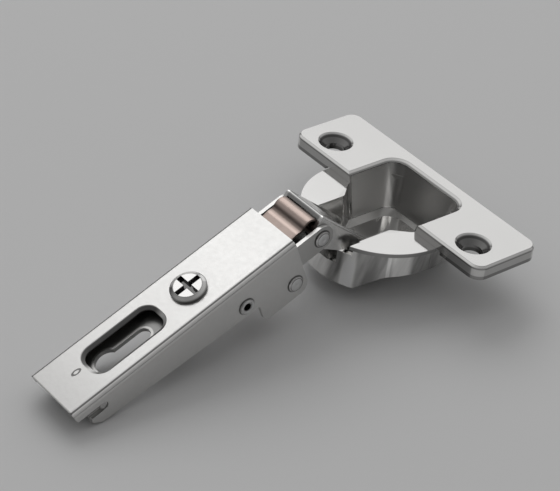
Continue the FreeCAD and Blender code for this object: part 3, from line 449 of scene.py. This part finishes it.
def screw_details(tree, place):
    """Painted shade in the adjusting screw's cross recess, on its rim and edge, and over its face."""
    u, y, v = arm_axes(tree, place)
    radius = distance(tree, u, SCREW_U, y, 0.0)
    recess = both(tree, fall(tree, radius, 3.25 * MM, 3.35 * MM),
                  fall(tree, v, SCREW_FACE - 0.2 * MM, SCREW_FACE - 0.05 * MM))
    rim = both(tree, rise(tree, radius, 3.7 * MM, 4.1 * MM), fall(tree, v, 0.5 * MM, 0.9 * MM))
    edge = band(tree, radius, 3.2 * MM, 3.32 * MM, 0.1 * MM)
    face = rise(tree, v, SCREW_FACE - 0.05 * MM, SCREW_FACE - 0.02 * MM)
    return toned(tree, SCREW_PAINTED_SHADE, recess=recess, rim=rim, edge=edge, face=face), None, None


def rivet_details(tree, place):
    """Turned rings, and painted shade in a groove and in the dimple on the heads: the rings are a sine
    of the distance from the nearer rivet's axis."""
    u, _, v = arm_axes(tree, place)
    nearer = worked(tree, "MINIMUM", distance(tree, u, FRONT_RIVET_PLACE[0], v, FRONT_RIVET_PLACE[1]),
                    distance(tree, u, LOWER_RIVET_PLACE[0], v, LOWER_RIVET_PLACE[1]))
    head = fall(tree, nearer, 2.0 * MM, 2.1 * MM)
    wave = worked(tree, "SINE", worked(tree, "MULTIPLY", nearer, 2.0 * math.pi / TURNED_RING_PITCH))
    groove = both(tree, head, band(tree, nearer, 1.4 * MM, 1.6 * MM, 0.12 * MM))
    dimple = both(tree, head, band(tree, nearer, 0.4 * MM, 0.5 * MM, 0.15 * MM))
    rings = both(tree, head, worked(tree, "MULTIPLY", wave, TURNED_RING_HEIGHT))
    return toned(tree, RIVET_PAINTED_SHADE, groove=groove, dimple=dimple), rings, None


def spring_details(tree, place):
    """Painted shade in the valley between the spring's humps, at its ends and on its front crest."""
    u, y, v = arm_axes(tree, place)
    valley = both(tree, band(tree, u, 3.4 * MM, 4.4 * MM, 1.1 * MM), fall(tree, v, -0.9 * MM, -0.3 * MM))
    ends = rise(tree, worked(tree, "ABSOLUTE", y), 4.5 * MM, 5.1 * MM)
    crest = rise(tree, u, 4.9 * MM, 5.4 * MM)
    return toned(tree, SPRING_PAINTED_SHADE, valley=valley, ends=ends, crest=crest), None, None


def metal(name, colour, roughness, grain, cloud, bump, details):
    """Plated metal: base colour and roughness drift a little with a cloud of noise in the piece.

    The details function gives a factor of painted light and shade for the colour, a height for the bump
    and a roughness to add; the last two may be None.
    """
    material = bpy.data.materials.new(name)
    material.use_nodes = True
    tree = material.node_tree
    nodes = tree.nodes
    links = tree.links
    shader = nodes["Principled BSDF"]
    shader.inputs["Metallic"].default_value = 1.0
    place = nodes.new("ShaderNodeTexCoord").outputs["Object"]
    noise = nodes.new("ShaderNodeTexNoise")
    noise.inputs["Scale"].default_value = grain
    noise.inputs["Detail"].default_value = GRAIN_DETAIL
    links.new(place, noise.inputs["Vector"])
    tint = nodes.new("ShaderNodeMix")
    tint.data_type = "RGBA"
    for socket, share in (("A", 1.0 - cloud), ("B", 1.0 + cloud)):
        tint.inputs[socket].default_value = tuple(min(1.0, c * share) for c in colour) + (1.0,)
    links.new(noise.outputs["Fac"], tint.inputs["Factor"])
    shade, height, dull = details(tree, place)
    painted_plating = nodes.new("ShaderNodeVectorMath")
    painted_plating.operation = "SCALE"
    links.new(tint.outputs["Result"], painted_plating.inputs[0])
    links.new(shade, painted_plating.inputs["Scale"])
    links.new(painted_plating.outputs[0], shader.inputs["Base Color"])
    rough = nodes.new("ShaderNodeMapRange")
    rough.inputs["To Min"].default_value = roughness * ROUGHNESS_DRIFT[0]
    rough.inputs["To Max"].default_value = roughness * ROUGHNESS_DRIFT[1]
    links.new(noise.outputs["Fac"], rough.inputs["Value"])
    gloss = rough.outputs["Result"]
    if dull is not None:
        gloss = worked(tree, "ADD", gloss, dull)
    links.new(gloss, shader.inputs["Roughness"])
    relief = worked(tree, "MULTIPLY", noise.outputs["Fac"], bump)
    if height is not None:
        relief = worked(tree, "ADD", relief, height)
    ripple = nodes.new("ShaderNodeBump")
    ripple.inputs["Distance"].default_value = BUMP_REACH
    links.new(relief, ripple.inputs["Height"])
    links.new(ripple.outputs["Normal"], shader.inputs["Normal"])
    return material


# Each finish: the settings for its colour and roughness, a factor for that roughness, the grain's
# scale, the colour's drift, the bump's strength, and its details, which paint light and shade into the colour.
FINISH_RECIPES = {
    "cast_nickel": ("nickel", "cup_roughness", 1.0, 60.0, 0.04, 0.05, cup_details),
    "sheet_nickel": ("nickel", "arm_roughness", 1.0, 900.0, 0.05, 0.08, arm_details),
    "link_nickel": ("nickel", "cup_roughness", 1.7, 300.0, 0.06, 0.03, link_details),
    "inner_sheet": ("inner", "arm_roughness", 1.0, 500.0, 0.06, 0.05, inner_sheet_details),
    "pin_steel": ("steel", "cup_roughness", 1.7, 800.0, 0.06, 0.03, rivet_details),
    "spring_copper": ("copper", "arm_roughness", 1.0, 350.0, 0.16, 0.05, spring_details),
    "screw_nickel": ("nickel", "cup_roughness", 1.0, 400.0, 0.06, 0.03, screw_details),
}


class HingeFinishSettings(bpy.types.PropertyGroup):
    """Colours and gloss of the plated metals."""

    nickel: FloatVectorProperty(
        name="Nickel", description="Colour of the nickel plating", subtype="COLOR",
        size=3, default=(0.66, 0.655, 0.645), min=0.0, max=1.0)
    steel: FloatVectorProperty(
        name="Pin steel", description="Colour of pins and rivets", subtype="COLOR",
        size=3, default=(0.56, 0.555, 0.55), min=0.0, max=1.0)
    inner: FloatVectorProperty(
        name="Inner sheet", description="Colour of the plated sheet inside the arm", subtype="COLOR",
        size=3, default=(0.55, 0.545, 0.535), min=0.0, max=1.0)
    copper: FloatVectorProperty(
        name="Spring copper", description="Colour of the plated closing spring", subtype="COLOR",
        size=3, default=(0.56, 0.455, 0.41), min=0.0, max=1.0)
    cup_roughness: FloatProperty(
        name="Cup roughness", description="Roughness of the polished cup",
        default=0.13, min=0.0, max=1.0, subtype="FACTOR")
    arm_roughness: FloatProperty(
        name="Arm roughness", description="Roughness of the satin arm",
        default=0.34, min=0.0, max=1.0, subtype="FACTOR")


class HingeThreadSettings(bpy.types.PropertyGroup):
    """Thread of the side adjusting screw."""

    radius: FloatProperty(
        name="Root radius", description="Radius of the thread's root, which lies just under the shank's face",
        default=2.78 * MM, min=0.0, unit="LENGTH")
    height: FloatProperty(
        name="Ridge height", description="How far the ridge stands out of the shank",
        default=0.12 * MM, min=0.0, unit="LENGTH")
    pitch: FloatProperty(
        name="Pitch", description="Travel of the thread in one turn",
        default=1.0 * MM, min=0.0, unit="LENGTH")
    steps: IntProperty(
        name="Steps a turn", description="Points along the ridge in one turn", default=36, min=8)


class HingeRivetSettings(bpy.types.PropertyGroup):
    """Lips of the hollow rivet and crowns of the solid rivets."""

    lip_radius: FloatProperty(
        name="Lip radius", description="Radius of the hollow rivet's rolled lip",
        default=1.42 * MM, min=0.0, unit="LENGTH")
    lip_bead: FloatProperty(
        name="Lip bead", description="Radius of the bead that the lip is rolled to",
        default=0.3 * MM, min=0.0, unit="LENGTH")
    crown_radius: FloatProperty(
        name="Crown radius", description="Radius of the crown on a solid rivet's head",
        default=1.62 * MM, min=0.0, unit="LENGTH")
    crown_height: FloatProperty(
        name="Crown height", description="Height of the crown on a solid rivet's head",
        default=0.2 * MM, min=0.0, unit="LENGTH")
    crown_dimple: FloatProperty(
        name="Crown dimple", description="Depth of the dimple in the middle of the crown",
        default=0.16 * MM, min=0.0, unit="LENGTH")
    steps: IntProperty(
        name="Steps", description="Points round a lip or a crown", default=48, min=12)


class HingeStageSettings(bpy.types.PropertyGroup):
    """Floor, lamps and camera."""

    floor_colour: FloatVectorProperty(
        name="Floor", description="Colour of the plain floor", subtype="COLOR",
        size=3, default=(0.70, 0.70, 0.70), min=0.0, max=1.0)
    key_power: FloatProperty(
        name="Key lamp", description="Power of the large soft lamp", default=3.6, min=0.0, unit="POWER")
    back_power: FloatProperty(
        name="Back lamp", description="Power of the lamp behind the cup", default=0.5, min=0.0, unit="POWER")
    dome_dim: FloatProperty(
        name="Dome, dim side", description="Brightness of the studio dome at the front and low down",
        default=0.24, min=0.0)
    dome_bright: FloatProperty(
        name="Dome, bright side", description="Brightness of the studio dome overhead and at the back",
        default=0.60, min=0.0)
    horizon: FloatProperty(
        name="Horizon", description="Share of the dome's brightness that is left near the horizon",
        default=0.15, min=0.0, max=1.0, subtype="FACTOR")
    focal_length: FloatProperty(
        name="Lens", description="Focal length of the camera in millimetres", default=138.46, min=1.0)


class HINGE_OT_finishes(bpy.types.Operator):
    """Gives every solid of the hinge its plated finish"""

    bl_idname = "hinge.finishes"
    bl_label = "Finish the solids"

    def execute(self, context):
        look = context.scene.hinge_finish
        finishes = {
            name: metal(name, tuple(getattr(look, colour)), getattr(look, gloss) * factor, *rest)
            for name, (colour, gloss, factor, *rest) in FINISH_RECIPES.items()
        }
        for node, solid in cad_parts.items():
            solid.data.materials.clear()
            solid.data.materials.append(finishes[NODE_FINISHES[node]])
        return {"FINISHED"}


def thread_surface(thread):
    """Points and faces of the thread: a section of points (s, t) carried along a helix of angle a.

    With r = root + height s f and w = 0.2 + 0.8 f, a point stands at u = screw + r cos a, y = r sin a
    and v = start + pitch (a / 2 pi + t w). The fade f rises from 0.1 to 1 at each end of the helix.
    """
    count = int(THREAD_TURNS * thread.steps)
    angle = np.linspace(0.0, THREAD_TURNS * 2.0 * math.pi, count)[:, None]
    section = np.array(THREAD_SECTION)
    fade = np.clip(np.minimum(angle, angle[-1] - angle) / THREAD_FADE_ANGLE, THREAD_FADE_LEAST, 1.0)
    width = THREAD_LEAST_WIDTH + (1.0 - THREAD_LEAST_WIDTH) * fade
    radius = thread.radius + thread.height * section[None, :, 0] * fade
    along = THREAD_START + thread.pitch * (angle / (2.0 * math.pi) + section[None, :, 1] * width)
    points = arm_points(SCREW_U + radius * np.cos(angle), radius * np.sin(angle), along)
    sides = len(section)
    first = np.arange(sides)
    caps = np.array([first, sides * count - 1 - first])
    return points, np.vstack([grid_faces(count, sides, wrap_columns=True), caps])


class HINGE_OT_screw_thread(bpy.types.Operator):
    """Winds the thread round the side adjusting screw"""

    bl_idname = "hinge.screw_thread"
    bl_label = "Cut the screw's thread"

    def execute(self, context):
        points, faces = thread_surface(context.scene.hinge_thread)
        piece = make_piece("screw_thread", points, faces, bpy.data.materials["screw_nickel"])
        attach(piece, "side_screw")
        return {"FINISHED"}


def turned_points(place, around, radius, out):
    """Surface of revolution about a crosswise axis: a profile of radius and height, turned around.

    A point at angle a stands at u = centre + radius cos a, v = centre + radius sin a, y = height.
    """
    return arm_points(place[0] + radius * np.cos(around), out, place[1] + radius * np.sin(around))


def lip_surface(look, around, side):
    """Torus of the rolled lip: radius = lip + bead cos t, height = face + bead sin t."""
    turn = np.linspace(0.0, 2.0 * math.pi, LIP_POINTS, endpoint=False)[None, :]
    radius = look.lip_radius + look.lip_bead * np.cos(turn)
    out = side * (HOLLOW_RIVET_FACE + look.lip_bead * np.sin(turn))
    points = turned_points(HOLLOW_RIVET_PLACE, around, radius, out)
    return points, grid_faces(len(around), LIP_POINTS, wrap_rows=True, wrap_columns=True).tolist()


def crown_surface(look, around, side, place, face):
    """Crown of a solid rivet: height = face + crown (1 - s s) - dimple exp(-(s / 0.28)(s / 0.28)).

    The share s of the radius runs from the middle to the rim; the middle is closed by one face,
    and a short skirt and a base close it below.
    """
    share = np.linspace(CROWN_MIDDLE_SHARE, 1.0, CROWN_POINTS)[None, :]
    dome = look.crown_height * (1.0 - share ** 2)
    dome = dome - look.crown_dimple * np.exp(-(share / CROWN_DIMPLE_SHARE) ** 2)
    out = side * (face - CROWN_SINK + dome)
    radius = look.crown_radius * share
    top = turned_points(place, around, radius, out).reshape(-1, 3)
    low = turned_points(place, around, radius[:, -1:], out[:, -1:] - side * CROWN_SKIRT).reshape(-1, 3)
    rows = np.arange(len(around))
    following = np.roll(rows, -1)
    rim = rows * CROWN_POINTS + CROWN_POINTS - 1
    base = len(top) + rows
    skirt = np.stack([rim, base, len(top) + following, following * CROWN_POINTS + CROWN_POINTS - 1], axis=-1)
    middle = (rows * CROWN_POINTS)[::-1]
    faces = grid_faces(len(rows), CROWN_POINTS, wrap_rows=True).tolist()
    return np.vstack([top, low]), faces + [middle.tolist()] + skirt.tolist() + [base.tolist()]


class HINGE_OT_rivet_lips(bpy.types.Operator):
    """Rolls the lips of the hollow rivet and crowns the heads of the solid rivets"""

    bl_idname = "hinge.rivet_lips"
    bl_label = "Roll the rivets' lips"

    def execute(self, context):
        look = context.scene.hinge_rivets
        steel = bpy.data.materials["pin_steel"]
        around = np.linspace(0.0, 2.0 * math.pi, look.steps, endpoint=False)[:, None]
        for side, word in ((-1.0, "near"), (1.0, "far")):
            lip = make_piece("hollow_rivet_lip_" + word, *lip_surface(look, around, side), steel)
            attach(lip, "arm")
            for name, place, face in (("front_rivet_crown_", FRONT_RIVET_PLACE, FRONT_RIVET_FACE),
                                      ("lower_rivet_crown_", LOWER_RIVET_PLACE, LOWER_RIVET_FACE)):
                piece = make_piece(name + word, *crown_surface(look, around, side, place, face), steel)
                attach(piece, "arm")
        return {"FINISHED"}


class HINGE_OT_stage(bpy.types.Operator):
    """Sets the floor, the lamps, the world and the camera"""

    bl_idname = "hinge.stage"
    bl_label = "Set the stage"

    def execute(self, context):
        stage = context.scene.hinge_stage
        scene = context.scene
        scene.view_settings.view_transform = "Standard"
        set_world(scene, stage)
        lay_floor(stage)
        centre = Vector(HINGE_MIDDLE)
        soft_lamp("key_lamp", centre + Vector(KEY_LAMP_PLACE), centre, KEY_LAMP_SIZE, stage.key_power)
        soft_lamp("back_lamp", centre + Vector(BACK_LAMP_PLACE), centre, BACK_LAMP_SIZE, stage.back_power)
        camera_data = bpy.data.cameras.new("camera")
        camera_data.lens = stage.focal_length
        camera_data.sensor_width = CAMERA_SENSOR
        camera_data.clip_start = CAMERA_NEAREST
        camera = bpy.data.objects.new("camera", camera_data)
        axes = (Vector(CAMERA_RIGHT), -Vector(CAMERA_DOWN), -Vector(CAMERA_FORWARD))
        place = Matrix(axes).transposed().to_4x4()
        place.translation = Vector(CAMERA_PLACE)
        camera.matrix_world = place
        scene.collection.objects.link(camera)
        scene.camera = camera
        return {"FINISHED"}


def set_world(scene, stage):
    """Studio dome: dim at the front and low down, pale towards the back and overhead."""
    world = bpy.data.worlds.new("studio")
    scene.world = world
    world.use_nodes = True
    nodes = world.node_tree.nodes
    links = world.node_tree.links
    place = nodes.new("ShaderNodeTexCoord")
    toward = nodes.new("ShaderNodeVectorMath")
    toward.operation = "DOT_PRODUCT"
    toward.inputs[1].default_value = Vector(DOME_BRIGHT_WAY).normalized()
    links.new(place.outputs["Generated"], toward.inputs[0])
    ramp = nodes.new("ShaderNodeMapRange")
    ramp.interpolation_type = "SMOOTHSTEP"
    ramp.inputs["From Min"].default_value = DOME_DIM_EDGE
    ramp.inputs["From Max"].default_value = DOME_BRIGHT_EDGE
    ramp.inputs["To Min"].default_value = stage.dome_dim
    ramp.inputs["To Max"].default_value = stage.dome_bright
    links.new(toward.outputs["Value"], ramp.inputs["Value"])
    split = nodes.new("ShaderNodeSeparateXYZ")
    links.new(place.outputs["Generated"], split.inputs[0])
    above = rise(world.node_tree, split.outputs[2], *HORIZON_EDGES)
    lifted = worked(world.node_tree, "MULTIPLY_ADD", above, 1.0 - stage.horizon, stage.horizon)
    strength = worked(world.node_tree, "MULTIPLY", ramp.outputs["Result"], lifted)
    links.new(strength, nodes["Background"].inputs["Strength"])
    nodes["Background"].inputs["Color"].default_value = (1.0, 1.0, 1.0, 1.0)


def lay_floor(stage):
    """Floor plane that the cup's back edge and the arm's rear end rest on."""
    normal = Vector(FLOOR_NORMAL).normalized()
    side = Vector(CROSSWISE)
    along = side.cross(normal)
    corners = [Vector(FLOOR_TOUCH) + FLOOR_REACH * (along * a + side * b)
               for a, b in ((-1, -1), (1, -1), (1, 1), (-1, 1))]
    material = bpy.data.materials.new("floor")
    material.use_nodes = True
    shader = material.node_tree.nodes["Principled BSDF"]
    shader.inputs["Base Color"].default_value = tuple(stage.floor_colour) + (1.0,)
    shader.inputs["Roughness"].default_value = FLOOR_ROUGHNESS
    shader.inputs["Specular IOR Level"].default_value = FLOOR_SPECULAR
    mesh = bpy.data.meshes.new("floor")
    mesh.from_pydata([tuple(corner) for corner in corners], [], [(0, 1, 2, 3)])
    mesh.materials.append(material)
    floor = bpy.data.objects.new("floor", mesh)
    bpy.context.scene.collection.objects.link(floor)


def soft_lamp(name, place, aim, size, power):
    """Square area lamp at a place, turned to its aim."""
    data = bpy.data.lights.new(name, "AREA")
    data.size = size
    data.energy = power
    lamp = bpy.data.objects.new(name, data)
    turned = (aim - place).to_track_quat("-Z", "Y").to_matrix().to_4x4()
    lamp.matrix_world = Matrix.Translation(place) @ turned
    bpy.context.scene.collection.objects.link(lamp)


class HINGE_PT_panel(bpy.types.Panel):
    """Buttons that build the hinge's looks"""

    bl_idname = "HINGE_PT_panel"
    bl_label = "Concealed hinge"
    bl_space_type = "VIEW_3D"
    bl_region_type = "UI"
    bl_category = "Hinge"

    def draw(self, context):
        for group, name in SETTINGS:
            for value in group.__annotations__:
                self.layout.prop(getattr(context.scene, name), value)
        for operator in OPERATORS:
            self.layout.operator(operator.bl_idname)


SETTINGS = (
    (HingeFinishSettings, "hinge_finish"),
    (HingeThreadSettings, "hinge_thread"),
    (HingeRivetSettings, "hinge_rivets"),
    (HingeStageSettings, "hinge_stage"),
)
OPERATORS = (
    HINGE_OT_finishes,
    HINGE_OT_screw_thread,
    HINGE_OT_rivet_lips,
    HINGE_OT_stage,
)


def register():
    for group, name in SETTINGS:
        bpy.utils.register_class(group)
        setattr(bpy.types.Scene, name, PointerProperty(type=group))
    for operator in OPERATORS:
        bpy.utils.register_class(operator)
    bpy.utils.register_class(HINGE_PT_panel)


def unregister():
    bpy.utils.unregister_class(HINGE_PT_panel)
    for operator in reversed(OPERATORS):
        bpy.utils.unregister_class(operator)
    for group, name in reversed(SETTINGS):
        delattr(bpy.types.Scene, name)
        bpy.utils.unregister_class(group)


def main():
    register()
    bpy.ops.hinge.finishes()
    bpy.ops.hinge.screw_thread()
    bpy.ops.hinge.rivet_lips()
    bpy.ops.hinge.stage()


if __name__ == "__main__":
    main()
